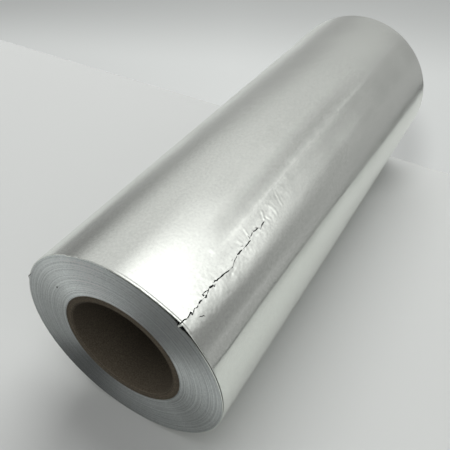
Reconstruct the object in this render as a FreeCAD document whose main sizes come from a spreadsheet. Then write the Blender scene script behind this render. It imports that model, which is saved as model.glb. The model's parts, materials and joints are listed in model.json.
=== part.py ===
# Aluminium foil roll: one long web of foil wound on a paper core, standing on its end.
# Z runs up the roll's axis, the origin is on the axis at the foot, and sizes are in millimetres.
# The end that shows the torn, lifted edge of the outermost turn is the upper one.

import FreeCAD, Part

import enum
import math
import os

import Sketcher

SIZES = (
    ("roll_width", 400.0, "foil web from edge to edge, which is the roll's height"),
    ("roll_diameter", 148.0, "across the outermost turn"),
    ("core_bore", 76.2, "inside of the paper core"),
    ("core_wall", 5.2, "wall of the paper core"),
    ("core_bevel", 0.8, "rubbed edge at each mouth of the core"),
    ("winding_clearance", 0.02, "radial room between the core and the first turn"),
    ("ply", 0.3, "step that the outermost turn makes at its free edge"),
    ("edge_opening", 0.7, "width of the slit along the torn stretch of the free edge"),
    ("edge_shift", 9.7, "how far round from the torn stretch the straight stretch lies"),
    ("tear_angle", -130.3, "where the torn stretch lies round the roll, in degrees"),
    ("tear_length", 97.0, "torn stretch, down from the upper end"),
    ("tear_swing", 2.5, "how far the torn stretch strays sideways"),
    ("tear_lift", 1.9, "how far the outermost turn stands off at the upper end"),
    ("lift_before", 26.5, "breadth of the lifted stretch on the free edge's own side"),
    ("lift_after", 31.3, "breadth of the lifted stretch on the other side"),
    ("gap_depth", 9.0, "depth of the two gaps under the lifted stretch"),
    ("gap_fold", 1.9, "width of the fold that stands between the two gaps"),
    ("gap_setback", 4.0, "how far each gap's tip stays inside the lifted stretch"),
    ("line_count", 7.0, "turns from the core to the rim, one line to each"),
    ("line_width", 0.45, "width of a turn line"),
    ("line_depth", 0.35, "depth of a turn line"),
)

# The torn stretch from the upper end down, as shares of tear_length and of tear_swing.
TORN_EDGE = (
    (0.0, 0.1),
    (0.09, -0.36),
    (0.13, -0.16),
    (0.18, -0.52),
    (0.22, -0.2),
    (0.32, -0.44),
    (0.37, -0.26),
    (0.52, -0.95),
    (0.61, -0.24),
    (0.77, -0.36),
    (0.89, 0.4),
    (1.0, 1.7),
)
# The straight stretch starts this many tear lengths down, and its slit is this share as wide.
STRAIGHT_START = 1.2
STRAIGHT_OPENING = 0.4
# The gap on the free edge's own side is this share as high as the gap on the other side.
NEAR_GAP_SHARE = 0.5

UP = FreeCAD.Vector(0, 0, 1)


class Spot(enum.IntEnum):
    """The numbers by which a sketch knows the points of a line, an arc or a circle."""

    START = 1
    END = 2
    CENTRE = 3


class Fixed(enum.IntEnum):
    """The numbers by which a sketch knows its own axis along X, where its origin is too."""

    X_AXIS = -1


ORIGIN = (Fixed.X_AXIS, Spot.START)


def make_sheet(doc):
    """Write every driving dimension into the sheet as a plain number with an alias."""
    sheet = doc.addObject("Spreadsheet::Sheet", "Sizes")
    for row, (alias, value, note) in enumerate(SIZES, start=1):
        sheet.set(f"A{row}", alias)
        sheet.set(f"B{row}", str(value))
        sheet.set(f"C{row}", note)
        sheet.setAlias(f"B{row}", alias)
    doc.recompute()
    return sheet


def make_body(doc, label):
    body = doc.addObject("PartDesign::Body", label)
    body.Label = label
    return body


def make_sketch(body, name, role="XY_Plane", height=None):
    """Attach a sketch to one of the body's own planes, raised by a height expression."""
    sketch = body.newObject("Sketcher::SketchObject", name)
    plane = next(feature for feature in body.Origin.OriginFeatures if feature.Role == role)
    sketch.AttachmentSupport = (plane, [""])
    sketch.MapMode = "FlatFace"
    if height:
        sketch.setExpression("AttachmentOffset.Base.z", height)
    return sketch


def bind(sketch, name, expression, *constraint):
    """Add a dimension, whose last item is its starting value, and tie it to an expression."""
    index = sketch.addConstraint(Sketcher.Constraint(*constraint))
    sketch.renameConstraint(index, name)
    sketch.setExpression(f"Constraints.{name}", expression)


def join(sketch, *constraint):
    sketch.addConstraint(Sketcher.Constraint(*constraint))


def point(x, y):
    return FreeCAD.Vector(x, y, 0)


def add_line(sketch, start, end):
    return sketch.addGeometry(Part.LineSegment(start, end), False)


def add_arc(sketch, centre, start, end):
    """Add the arc that runs anticlockwise from start to end."""
    first = math.atan2(start.y - centre.y, start.x - centre.x)
    last = math.atan2(end.y - centre.y, end.x - centre.x)
    if last <= first:
        last += 2 * math.pi
    circle = Part.Circle(centre, UP, (start - centre).Length)
    return sketch.addGeometry(Part.ArcOfCircle(circle, first, last), False)


def leaving_centre(foot, centre, tip):
    """Centre of the arc that leaves a circle about centre at foot, smoothly, and reaches tip."""
    outward = (foot - centre).normalize()
    reach = tip - foot
    radius = -reach.dot(reach) / (2 * reach.dot(outward))
    return foot - outward * radius


def on_circle(centre, radius, y):
    """The point of a circle that lies at height y on its +X side."""
    return point(centre.x + math.sqrt(radius ** 2 - y ** 2), y)


def draw_outline(body, sheet, name, height, swing, lift_share, opening_share):
    """Draw the winding's outline at one height.

    It is one turn of a spiral with two centres: a half circle about the axis, a half circle
    that is half a ply smaller, and the step of one ply at the free edge, with the slit beside
    it. On both sides of the free edge an arc leaves the circle smoothly to the lifted edge.
    swing is the expression for the free edge's place sideways, and its value now.
    """
    swing_expression, swing_now = swing
    ply, radius = sheet.ply, sheet.roll_diameter / 2
    lift = sheet.tear_lift * lift_share
    axis, second = point(0, 0), point(-ply / 2, 0)
    edge = point(math.sqrt((radius + lift) ** 2 - swing_now ** 2), swing_now)
    slit = edge - point(2 * ply, 0)
    shoulder = slit + point(ply, -sheet.edge_opening * opening_share)
    foot_before = on_circle(axis, radius, sheet.lift_before)
    foot_after = on_circle(second, radius - ply / 2, -sheet.lift_after)
    back = point(-radius, 0)

    sketch = make_sketch(body, name, height=height)
    rise = add_arc(sketch, leaving_centre(foot_before, axis, edge), edge, foot_before)
    outer = add_arc(sketch, axis, foot_before, back)
    inner = add_arc(sketch, second, back, foot_after)
    climb = add_arc(sketch, leaving_centre(foot_after, second, shoulder), foot_after, shoulder)
    flank = add_line(sketch, shoulder, slit)
    step = add_line(sketch, slit, edge)

    join(sketch, "Coincident", outer, Spot.CENTRE, *ORIGIN)
    join(sketch, "Tangent", rise, Spot.END, outer, Spot.START)
    join(sketch, "Tangent", outer, Spot.END, inner, Spot.START)
    join(sketch, "Tangent", inner, Spot.END, climb, Spot.START)
    join(sketch, "Coincident", climb, Spot.END, flank, Spot.START)
    join(sketch, "Coincident", flank, Spot.END, step, Spot.START)
    join(sketch, "Coincident", step, Spot.END, rise, Spot.START)
    join(sketch, "PointOnObject", outer, Spot.END, Fixed.X_AXIS)
    join(sketch, "Horizontal", step)
    bind(sketch, "outer_radius", "Sizes.roll_diameter / 2", "Radius", outer, radius)
    bind(sketch, "inner_radius", "(Sizes.roll_diameter - Sizes.ply) / 2",
         "Radius", inner, radius - ply / 2)
    bind(sketch, "before", "Sizes.lift_before", "DistanceY", *ORIGIN, outer, Spot.START,
         sheet.lift_before)
    bind(sketch, "after", "-Sizes.lift_after", "DistanceY", *ORIGIN, inner, Spot.END,
         -sheet.lift_after)
    bind(sketch, "reach", f"Sizes.roll_diameter / 2 + Sizes.tear_lift * {lift_share}",
         "Distance", *ORIGIN, rise, Spot.START, radius + lift)
    bind(sketch, "swing", swing_expression, "DistanceY", *ORIGIN, rise, Spot.START, swing_now)
    bind(sketch, "step", "2 * Sizes.ply", "Distance", step, 2 * ply)
    bind(sketch, "slit_depth", "Sizes.ply", "DistanceX", flank, Spot.END, flank, Spot.START, ply)
    bind(sketch, "slit_width", f"Sizes.edge_opening * {opening_share}",
         "DistanceY", flank, Spot.START, flank, Spot.END, sheet.edge_opening * opening_share)
    return sketch


def draw_outlines(body, sheet):
    """Draw the outlines from the upper end down to the foot."""
    outlines = []
    for number, (depth, stray) in enumerate(TORN_EDGE):
        height = f"Sizes.roll_width - {depth} * Sizes.tear_length"
        swing = (f"{stray} * Sizes.tear_swing", stray * sheet.tear_swing)
        lift_share = round((1 - depth) ** 2, 4)
        outlines.append(
            draw_outline(body, sheet, f"torn_outline_{number}", height, swing, lift_share, 1.0))
    swing = ("Sizes.edge_shift", sheet.edge_shift)
    for name, height in (
            ("straight_outline", f"Sizes.roll_width - {STRAIGHT_START} * Sizes.tear_length"),
            ("foot_outline", None)):
        outlines.append(
            draw_outline(body, sheet, name, height, swing, 0.0, STRAIGHT_OPENING))
    return outlines


def draw_core_hole(body, sheet):
    """Draw the hole that the first turn leaves for the core."""
    sketch = make_sketch(body, "core_hole_outline")
    radius = sheet.core_bore / 2 + sheet.core_wall + sheet.winding_clearance
    circle = sketch.addGeometry(Part.Circle(point(0, 0), UP, radius), False)
    join(sketch, "Coincident", circle, Spot.CENTRE, *ORIGIN)
    bind(sketch, "hole_radius", "Sizes.core_bore / 2 + Sizes.core_wall + Sizes.winding_clearance",
         "Radius", circle, radius)
    return sketch


def draw_gap(sketch, sheet, side, breadth, share):
    """Draw the gap under the lifted turn on one side of the free edge.

    side is 1 for the free edge's own side and -1 for the other, breadth is the alias of that
    side's lifted breadth, and share is the gap's height as a share of the full one. The gap is
    highest at the fold beside the free edge and runs out to nothing at its tip.
    """
    name = "near" if side > 0 else "far"
    floor = sheet.roll_diameter / 2 - 2 * sheet.ply
    lift_left = (1 - sheet.gap_depth / sheet.tear_length) ** 2
    rise = sheet.tear_lift * lift_left * share
    axis = point(0, 0)
    root = on_circle(axis, floor, side * sheet.gap_fold / 2)
    crest = root + point(rise, 0)
    tip = on_circle(axis, floor, side * (getattr(sheet, breadth) - sheet.gap_setback))
    roof_centre = leaving_centre(tip, axis, crest)
    if side > 0:
        ground = add_arc(sketch, axis, root, tip)
        roof = add_arc(sketch, roof_centre, crest, tip)
        root_end, tip_end = Spot.START, Spot.END
    else:
        ground = add_arc(sketch, axis, tip, root)
        roof = add_arc(sketch, roof_centre, tip, crest)
        root_end, tip_end = Spot.END, Spot.START
    wall = add_line(sketch, root, crest)

    join(sketch, "Coincident", ground, Spot.CENTRE, *ORIGIN)
    join(sketch, "Tangent", ground, tip_end, roof, tip_end)
    join(sketch, "Coincident", ground, root_end, wall, Spot.START)
    join(sketch, "Coincident", roof, root_end, wall, Spot.END)
    join(sketch, "Horizontal", wall)
    bind(sketch, f"{name}_floor", "Sizes.roll_diameter / 2 - 2 * Sizes.ply",
         "Radius", ground, floor)
    bind(sketch, f"{name}_rise",
         f"{share} * Sizes.tear_lift * (1 - Sizes.gap_depth / Sizes.tear_length)^2",
         "Distance", wall, rise)
    bind(sketch, f"{name}_root", f"{side} * Sizes.gap_fold / 2",
         "DistanceY", *ORIGIN, wall, Spot.START, root.y)
    bind(sketch, f"{name}_tip", f"{side} * (Sizes.{breadth} - Sizes.gap_setback)",
         "DistanceY", *ORIGIN, ground, tip_end, tip.y)


def draw_spiral_edge(sketch, name, radius, expression, centres, half_turns):
    """Draw one edge of the turn line, inwards from radius, as half circles on two centres."""
    arcs = []
    pitch_half = abs(centres[1][1])
    for number in range(half_turns):
        centre_geometry, centre_x = centres[number % 2]
        reach = radius - number * pitch_half
        side = 1 if number % 2 == 0 else -1
        centre = point(centre_x, 0)
        arc = add_arc(sketch, centre, centre + point(side * reach, 0),
                      centre - point(side * reach, 0))
        join(sketch, "Coincident", arc, Spot.CENTRE, *centre_geometry)
        if arcs:
            join(sketch, "Coincident", arc, Spot.START, arcs[-1], Spot.END)
        else:
            join(sketch, "PointOnObject", arc, Spot.START, Fixed.X_AXIS)
            bind(sketch, name, expression, "Radius", arc, reach)
        join(sketch, "PointOnObject", arc, Spot.END, Fixed.X_AXIS)
        arcs.append(arc)
    return arcs


def draw_turn_line(body, sheet, name, height=None):
    """Draw the line that the turns' edges make on an end, as one spiral band.

    It runs from half a pitch inside the rim to half a pitch outside the core, in step with
    the free edge, and each half turn is half a pitch smaller than the one before.
    """
    core_radius = sheet.core_bore / 2 + sheet.core_wall
    pitch = (sheet.roll_diameter / 2 - core_radius) / sheet.line_count
    pitch_expression = ("(Sizes.roll_diameter / 2 - Sizes.core_bore / 2 - Sizes.core_wall)"
                        " / Sizes.line_count")
    radius = sheet.roll_diameter / 2 - pitch / 2
    radius_expression = f"Sizes.roll_diameter / 2 - {pitch_expression} / 2"
    half_turns = 2 * (round(sheet.line_count) - 1)

    sketch = make_sketch(body, name, height=height)
    second = sketch.addGeometry(Part.Point(point(-pitch / 2, 0)), True)
    join(sketch, "PointOnObject", second, Spot.START, Fixed.X_AXIS)
    bind(sketch, "half_pitch", f"-{pitch_expression} / 2",
         "DistanceX", *ORIGIN, second, Spot.START, -pitch / 2)
    centres = ((ORIGIN, 0.0), ((second, Spot.START), -pitch / 2))
    outer = draw_spiral_edge(
        sketch, "outer_radius", radius, radius_expression, centres, half_turns)
    inner = draw_spiral_edge(
        sketch, "inner_radius", radius - sheet.line_width,
        f"{radius_expression} - Sizes.line_width", centres, half_turns)
    for number, end in ((0, Spot.START), (-1, Spot.END)):
        place = (sketch.Geometry[outer[number]], sketch.Geometry[inner[number]])
        ends = [arc.StartPoint if end == Spot.START else arc.EndPoint for arc in place]
        cap = add_line(sketch, *ends)
        join(sketch, "Coincident", cap, Spot.START, outer[number], end)
        join(sketch, "Coincident", cap, Spot.END, inner[number], end)
    return sketch


def cut(body, name, sketch, upwards, depth=None):
    """Cut a sketch's shape into the body: through all of it, or to a depth expression."""
    pocket = body.newObject("PartDesign::Pocket", name)
    pocket.Profile = sketch
    pocket.Reversed = upwards
    if depth:
        pocket.Type = "Length"
        pocket.setExpression("Length", depth)
    else:
        pocket.Type = "ThroughAll"
    return pocket


def make_winding(doc, sheet):
    """Build the wound foil, with the torn stretch of its free edge towards the body's own +X."""
    body = make_body(doc, "foil_winding")
    outlines = draw_outlines(body, sheet)
    turns = body.newObject("PartDesign::AdditiveLoft", "turns")
    turns.Profile = outlines[0]
    turns.Sections = outlines[1:]
    turns.Ruled = True
    cut(body, "core_hole", draw_core_hole(body, sheet), upwards=True)

    gaps = make_sketch(body, "gap_outlines", height="Sizes.roll_width")
    draw_gap(gaps, sheet, 1, "lift_before", NEAR_GAP_SHARE)
    draw_gap(gaps, sheet, -1, "lift_after", 1.0)
    cut(body, "gaps", gaps, upwards=False, depth="Sizes.gap_depth")

    upper = draw_turn_line(body, sheet, "upper_line_outline", height="Sizes.roll_width")
    cut(body, "upper_turn_line", upper, upwards=False, depth="Sizes.line_depth")
    lower = draw_turn_line(body, sheet, "lower_line_outline")
    cut(body, "lower_turn_line", lower, upwards=True, depth="Sizes.line_depth")
    body.Placement.Rotation = FreeCAD.Rotation(UP, sheet.tear_angle)
    body.setExpression("Placement.Rotation.Angle", "Sizes.tear_angle")
    return body


def make_core(doc, sheet):
    """Build the paper core: a plain tube as long as the web is wide, with rubbed mouths."""
    body = make_body(doc, "paper_core")
    bore, bevel = sheet.core_bore / 2, sheet.core_bevel
    outside, top = bore + sheet.core_wall, sheet.roll_width
    corners = [point(bore + bevel, 0), point(outside, 0), point(outside, top),
               point(bore + bevel, top), point(bore, top - bevel), point(bore, bevel)]

    sketch = make_sketch(body, "wall_outline", role="XZ_Plane")
    lines = [add_line(sketch, corner, corners[(number + 1) % len(corners)])
             for number, corner in enumerate(corners)]
    foot, skin, head, upper_bevel, wall, lower_bevel = lines
    for number, line in enumerate(lines):
        join(sketch, "Coincident", line, Spot.END, lines[(number + 1) % len(lines)], Spot.START)
    for line in (foot, head):
        join(sketch, "Horizontal", line)
    for line in (skin, wall):
        join(sketch, "Vertical", line)
    join(sketch, "PointOnObject", foot, Spot.START, Fixed.X_AXIS)
    join(sketch, "Equal", foot, head)
    bind(sketch, "bore_radius", "Sizes.core_bore / 2", "DistanceX", *ORIGIN, wall, Spot.END, bore)
    bind(sketch, "outside_radius", "Sizes.core_bore / 2 + Sizes.core_wall",
         "DistanceX", *ORIGIN, skin, Spot.START, outside)
    bind(sketch, "height", "Sizes.roll_width", "DistanceY", skin, Spot.START, skin, Spot.END, top)
    bind(sketch, "bevel_width", "Sizes.core_bevel",
         "DistanceX", lower_bevel, Spot.START, lower_bevel, Spot.END, bevel)
    bind(sketch, "lower_bevel", "Sizes.core_bevel",
         "DistanceY", lower_bevel, Spot.END, lower_bevel, Spot.START, bevel)
    bind(sketch, "upper_bevel", "Sizes.core_bevel",
         "DistanceY", upper_bevel, Spot.END, upper_bevel, Spot.START, bevel)
    tube = body.newObject("PartDesign::Revolution", "tube")
    tube.Profile = sketch
    tube.ReferenceAxis = (sketch, ["V_Axis"])
    tube.Angle = 360.0
    return body


def check(doc, bodies):
    """Stop if any feature failed or any piece is not a sound solid."""
    failed = [item.Label for item in doc.Objects
              if "Invalid" in item.State or "Error" in item.State]
    if failed:
        raise RuntimeError(f"these features failed: {failed}")
    for body in bodies:
        if body.Shape.isNull() or not body.Shape.isValid() or len(body.Shape.Solids) != 1:
            raise RuntimeError(f"{body.Label} is not one sound solid")


def main():
    doc = FreeCAD.newDocument("foil_roll")
    sheet = make_sheet(doc)
    bodies = [make_winding(doc, sheet), make_core(doc, sheet)]
    doc.recompute()
    check(doc, bodies)
    os.makedirs("parts", exist_ok=True)
    for body in bodies:
        body.Shape.exportStep(f"parts/{body.Label}.step")
        print(f"{body.Label}: {body.Shape.Volume / 1000:.1f} cubic centimetres")


main()
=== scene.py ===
"""A wide roll of heavy aluminium foil on a paper core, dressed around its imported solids.

The roll stands on its end, with Z up along its axis and the torn end on top. Meshes are worked
out in millimetres and stored in metres. "Round" is the distance in millimetres along the roll's
surface from the torn edge, anticlockwise seen from above.
"""
import enum
import json
import logging
import math
from dataclasses import dataclass, field

import bmesh
import bpy
import numpy as np
from mathutils import Matrix, Vector, noise


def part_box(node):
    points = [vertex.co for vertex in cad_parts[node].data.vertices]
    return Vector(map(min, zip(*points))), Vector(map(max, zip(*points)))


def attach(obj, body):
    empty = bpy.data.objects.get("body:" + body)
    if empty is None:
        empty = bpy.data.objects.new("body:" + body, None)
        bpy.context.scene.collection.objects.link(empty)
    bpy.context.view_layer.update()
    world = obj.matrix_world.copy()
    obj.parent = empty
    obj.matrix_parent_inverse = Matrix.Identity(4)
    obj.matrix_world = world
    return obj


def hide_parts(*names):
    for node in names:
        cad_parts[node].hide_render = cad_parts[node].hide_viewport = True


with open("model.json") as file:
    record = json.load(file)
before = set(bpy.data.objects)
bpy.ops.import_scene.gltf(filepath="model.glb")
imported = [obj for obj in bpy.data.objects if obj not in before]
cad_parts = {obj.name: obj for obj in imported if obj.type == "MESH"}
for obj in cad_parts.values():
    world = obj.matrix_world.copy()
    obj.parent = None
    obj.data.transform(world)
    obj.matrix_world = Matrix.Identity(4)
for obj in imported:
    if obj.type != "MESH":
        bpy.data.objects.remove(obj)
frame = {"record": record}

BODY = "root"
TO_METRES = 0.001
LOG = logging.getLogger("foil_roll")
# A quarter turn, so that lines that run round the roll spread a highlight across themselves.
ACROSS_THE_LINES = 0.25


class WindingFace(enum.IntEnum):
    """What a face of the winding is, which is also the place of its material."""

    SIDE = 0
    END = 1
    # Faces inside the crack and the gaps at the rim, which get the painted-shade material.
    GAP = 2


class RollEnd(enum.Enum):
    """An end of the roll, with the direction that it faces along Z."""

    UPPER = 1.0
    LOWER = -1.0


def linear(hex_colour: str) -> tuple[float, float, float, float]:
    """Turn an sRGB hex colour into linear light.

    Args:
        hex_colour: the colour, such as "#c8cac6".

    Returns:
        Red, green, blue and an alpha of 1.
    """
    shares = [int(hex_colour[place:place + 2], 16) / 255 for place in (1, 3, 5)]
    light = [share / 12.92 if share <= 0.04045 else ((share + 0.055) / 1.055) ** 2.4
             for share in shares]
    return (*light, 1.0)


def add_node(tree: bpy.types.NodeTree, kind: str, inputs: dict | None = None,
             **settings: object) -> bpy.types.Node:
    """Add a node to a tree.

    Args:
        tree: the material, world or geometry tree.
        kind: the node's type name.
        inputs: what goes into its sockets, by name or number: a value, or a socket to link.
        settings: the node's own properties.

    Returns:
        The new node.
    """
    node = tree.nodes.new(kind)
    for name, value in settings.items():
        setattr(node, name, value)
    for key, value in (inputs or {}).items():
        if isinstance(value, bpy.types.NodeSocket):
            tree.links.new(value, node.inputs[key])
        else:
            node.inputs[key].default_value = value
    return node


def new_material(name: str) -> tuple[bpy.types.Material, bpy.types.NodeTree]:
    """Make an empty node material.

    Args:
        name: the real material's name.

    Returns:
        The material and its emptied tree.
    """
    material = bpy.data.materials.new(name)
    material.use_nodes = True
    material.node_tree.nodes.clear()
    return material, material.node_tree


def smooth_step(share: np.ndarray) -> np.ndarray:
    """Ease a share from 0 to 1, flat at both ends and beyond them."""
    held = np.clip(share, 0.0, 1.0)
    return held * held * (3 - 2 * held)


def spaced(stops: tuple[tuple[float, float], ...], end: float) -> np.ndarray:
    """Lay points along a line, in stretches that each have their own spacing.

    Args:
        stops: where each stretch starts and about how far apart its points lie.
        end: where the last stretch ends.

    Returns:
        The points in rising order, with both ends.
    """
    points = []
    for number, (start, step) in enumerate(stops):
        stop = stops[number + 1][0] if number + 1 < len(stops) else end
        count = max(1, round((stop - start) / step))
        points.extend(np.linspace(start, stop, count, endpoint=False))
    points.append(end)
    return np.array(points)


def wavy(round_way: np.ndarray, height: np.ndarray, wave: float, seed: float) -> np.ndarray:
    """Give smooth seeded noise from about -1 to 1 over the roll's surface.

    Args:
        round_way: distances round the roll.
        height: heights up the roll, of the same shape.
        wave: the noise's wavelength.
        seed: a number that picks the pattern.

    Returns:
        The noise, of the same shape.
    """
    places = zip((round_way / wave).ravel(), (height / wave).ravel())
    values = [noise.noise(Vector((first, second, seed))) for first, second in places]
    return np.array(values).reshape(np.shape(round_way)) * 1.6


def ring_mesh(name: str, points: np.ndarray, kinds: np.ndarray, sharp_angle: float,
              materials: list[bpy.types.Material]) -> bpy.types.Object:
    """Join a grid of points, closed both ways, into one tidy mesh object.

    Args:
        name: the object's name.
        points: rows by columns by x, y and z in millimetres. Rows run outwards, up and inwards
            and columns run anticlockwise, so that faces point outwards.
        kinds: rows by columns of material places, for the face that starts at each point.
        sharp_angle: edges that turn by more than this, in degrees, stay sharp.
        materials: the materials in order of place.

    Returns:
        The new object, at the origin.
    """
    rows, columns = points.shape[:2]
    index = np.arange(rows * columns).reshape(rows, columns)
    ahead, above = np.roll(index, -1, axis=1), np.roll(index, -1, axis=0)
    corner = np.roll(above, -1, axis=1)
    faces = np.stack((index, ahead, corner, above), axis=-1).reshape(-1, 4)
    mesh = bpy.data.meshes.new(name)
    mesh.from_pydata((points.reshape(-1, 3) * TO_METRES).tolist(), [], faces.tolist())
    mesh.polygons.foreach_set("material_index", kinds.ravel().astype(np.int32))
    for material in materials:
        mesh.materials.append(material)
    tidy_mesh(mesh)
    mesh.shade_smooth()
    mesh.set_sharp_from_angle(angle=math.radians(sharp_angle))
    piece = bpy.data.objects.new(name, mesh)
    bpy.context.scene.collection.objects.link(piece)
    return piece


def tidy_mesh(mesh: bpy.types.Mesh, merge_distance: float = 1e-6) -> None:
    """Merge points that coincide and drop the faces that this leaves without an area.

    Args:
        mesh: the mesh to change.
        merge_distance: how near points have to be to be merged, in metres.
    """
    work = bmesh.new()
    work.from_mesh(mesh)
    bmesh.ops.remove_doubles(work, verts=work.verts, dist=merge_distance)
    bmesh.ops.dissolve_degenerate(work, edges=work.edges, dist=merge_distance)
    work.to_mesh(mesh)
    work.free()


@dataclass(frozen=True)
class RolledFoil:
    """Bright rolled aluminium foil: satin metal, with the fine lines of the rolling mill.

    The lines run round the roll, so reflections are crisp round it and soft along it.
    """

    colour: str = "#e8ebe5"
    roughness: float = 0.21
    roughness_change: float = 0.03
    anisotropy: float = 0.77
    smudge_mm: float = 45.0
    grain_mm: float = 1.6
    line_mm: float = 1.2
    grain_height_mm: float = 0.02
    grain_tone: float = 0.05
    edge_angle: float = -130.3
    radius_mm: float = 74.0
    strip_mm: tuple[float, float] = (-25.0, 35.0)
    # Painted reflection: the tone of each band, by its distance round from the torn edge.
    painted_band_tones: tuple[tuple[float, float], ...] = (
        (-12.0, 1.0), (-7.0, 1.16), (4.0, 1.04), (7.5, 1.08), (10.0, 1.20), (12.5, 0.94),
        (16.0, 0.82), (19.0, 0.82), (27.0, 1.0))
    strip_heights_mm: tuple[float, float, float, float] = (90.0, 200.0, 330.0, 350.0)
    strip_wander_mm: float = 5.0

    def painted_reflection_bands(self, tree: bpy.types.NodeTree,
                   place: bpy.types.NodeSocket) -> bpy.types.NodeSocket:
        """Paint brighter and darker bands of reflection into the colour of the strip beside the torn edge.

        Args:
            tree: the material's tree.
            place: the socket with Object coordinates.

        Returns:
            The socket with the tone, which is 1 away from the strip.
        """
        parts = add_node(tree, "ShaderNodeSeparateXYZ", {"Vector": place}).outputs
        angle = add_node(tree, "ShaderNodeMath", {0: parts["Y"], 1: parts["X"]},
                         operation="ARCTAN2")
        round_mm = add_node(tree, "ShaderNodeMath", {
            0: angle.outputs[0], 1: self.radius_mm,
            2: -math.radians(self.edge_angle) * self.radius_mm}, operation="MULTIPLY_ADD")
        wander = add_node(tree, "ShaderNodeTexNoise", {"Vector": place, "Scale": 110.0})
        moved = add_node(tree, "ShaderNodeMath", {
            0: wander.outputs["Fac"], 1: self.strip_wander_mm, 2: round_mm.outputs[0]},
            operation="MULTIPLY_ADD")
        start, stop = (limit + self.strip_wander_mm / 2 for limit in self.strip_mm)
        share = add_node(tree, "ShaderNodeMapRange", {
            "Value": moved.outputs[0], "From Min": start, "From Max": stop})
        ramp = add_node(tree, "ShaderNodeValToRGB", {"Fac": share.outputs["Result"]}).color_ramp
        breadth = self.strip_mm[1] - self.strip_mm[0]
        stops = [((spot - self.strip_mm[0]) / breadth, tone / 2) for spot, tone in self.painted_band_tones]
        for element, (spot, tone) in zip(ramp.elements, (stops[0], stops[-1])):
            element.position, element.color = spot, (tone, tone, tone, 1.0)
        for spot, tone in stops[1:-1]:
            ramp.elements.new(spot).color = (tone, tone, tone, 1.0)
        foot, low, high, top = (height * TO_METRES for height in self.strip_heights_mm)
        risen = add_node(tree, "ShaderNodeMapRange", {
            "Value": parts["Z"], "From Min": foot, "From Max": low},
            interpolation_type="SMOOTHSTEP")
        ended = add_node(tree, "ShaderNodeMapRange", {
            "Value": parts["Z"], "From Min": top, "From Max": high},
            interpolation_type="SMOOTHSTEP")
        within = add_node(tree, "ShaderNodeMath", {
            0: risen.outputs["Result"], 1: ended.outputs["Result"]}, operation="MULTIPLY")
        ramp_node = next(node for node in tree.nodes if node.bl_idname == "ShaderNodeValToRGB")
        doubled = add_node(tree, "ShaderNodeVectorMath", {
            0: ramp_node.outputs["Color"], 1: (2.0, 2.0, 2.0)}, operation="MULTIPLY")
        return add_node(tree, "ShaderNodeMix", {
            "Factor": within.outputs[0], "A": (1.0, 1.0, 1.0, 1.0),
            "B": doubled.outputs["Vector"]}, data_type="RGBA").outputs["Result"]

    def build(self) -> bpy.types.Material:
        """Build the material, with its patterns on Object coordinates."""
        material, tree = new_material("rolled_aluminium_foil")
        place = add_node(tree, "ShaderNodeTexCoord").outputs["Object"]
        # Painted reflection: brighter and darker bands in the foil's colour beside the torn edge.
        painted_bands = self.painted_reflection_bands(tree, place)
        smudges = add_node(tree, "ShaderNodeTexNoise", {
            "Vector": place, "Scale": 1 / (self.smudge_mm * TO_METRES), "Detail": 3.0})
        roughness = add_node(tree, "ShaderNodeMapRange", {
            "Value": smudges.outputs["Fac"], "From Min": 0.3, "From Max": 0.7,
            "To Min": self.roughness - self.roughness_change,
            "To Max": self.roughness + self.roughness_change})
        stretched = add_node(tree, "ShaderNodeMapping", {
            "Vector": place, "Scale": (0.03, 0.03, 1.0)})
        lines = add_node(tree, "ShaderNodeTexNoise", {
            "Vector": stretched.outputs["Vector"], "Scale": 1 / (self.line_mm * TO_METRES),
            "Detail": 2.0})
        grain = add_node(tree, "ShaderNodeTexNoise", {
            "Vector": place, "Scale": 1 / (self.grain_mm * TO_METRES), "Detail": 2.0})
        relief = add_node(tree, "ShaderNodeMath", {
            0: lines.outputs["Fac"], 1: grain.outputs["Fac"]}, operation="ADD")
        bump = add_node(tree, "ShaderNodeBump", {
            "Height": relief.outputs[0], "Strength": 0.35,
            "Distance": self.grain_height_mm * TO_METRES})
        round_way = add_node(tree, "ShaderNodeVectorMath", {0: (0.0, 0.0, 1.0), 1: place},
                             operation="CROSS_PRODUCT")
        speckle = add_node(tree, "ShaderNodeMapRange", {
            "Value": grain.outputs["Fac"], "From Min": 0.3, "From Max": 0.7,
            "To Min": 1 - self.grain_tone, "To Max": 1 + self.grain_tone})
        toned = add_node(tree, "ShaderNodeVectorMath", {
            0: painted_bands, 1: speckle.outputs["Result"]}, operation="MULTIPLY")
        colour = add_node(tree, "ShaderNodeVectorMath", {
            0: toned.outputs["Vector"], 1: linear(self.colour)[:3]}, operation="MULTIPLY")
        surface = add_node(tree, "ShaderNodeBsdfPrincipled", {
            "Base Color": colour.outputs["Vector"], "Metallic": 1.0,
            "Roughness": roughness.outputs["Result"], "Anisotropic": self.anisotropy,
            "Anisotropic Rotation": ACROSS_THE_LINES,
            "Normal": bump.outputs["Normal"], "Tangent": round_way.outputs["Vector"]})
        add_node(tree, "ShaderNodeOutputMaterial", {"Surface": surface.outputs["BSDF"]})
        return material


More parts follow.
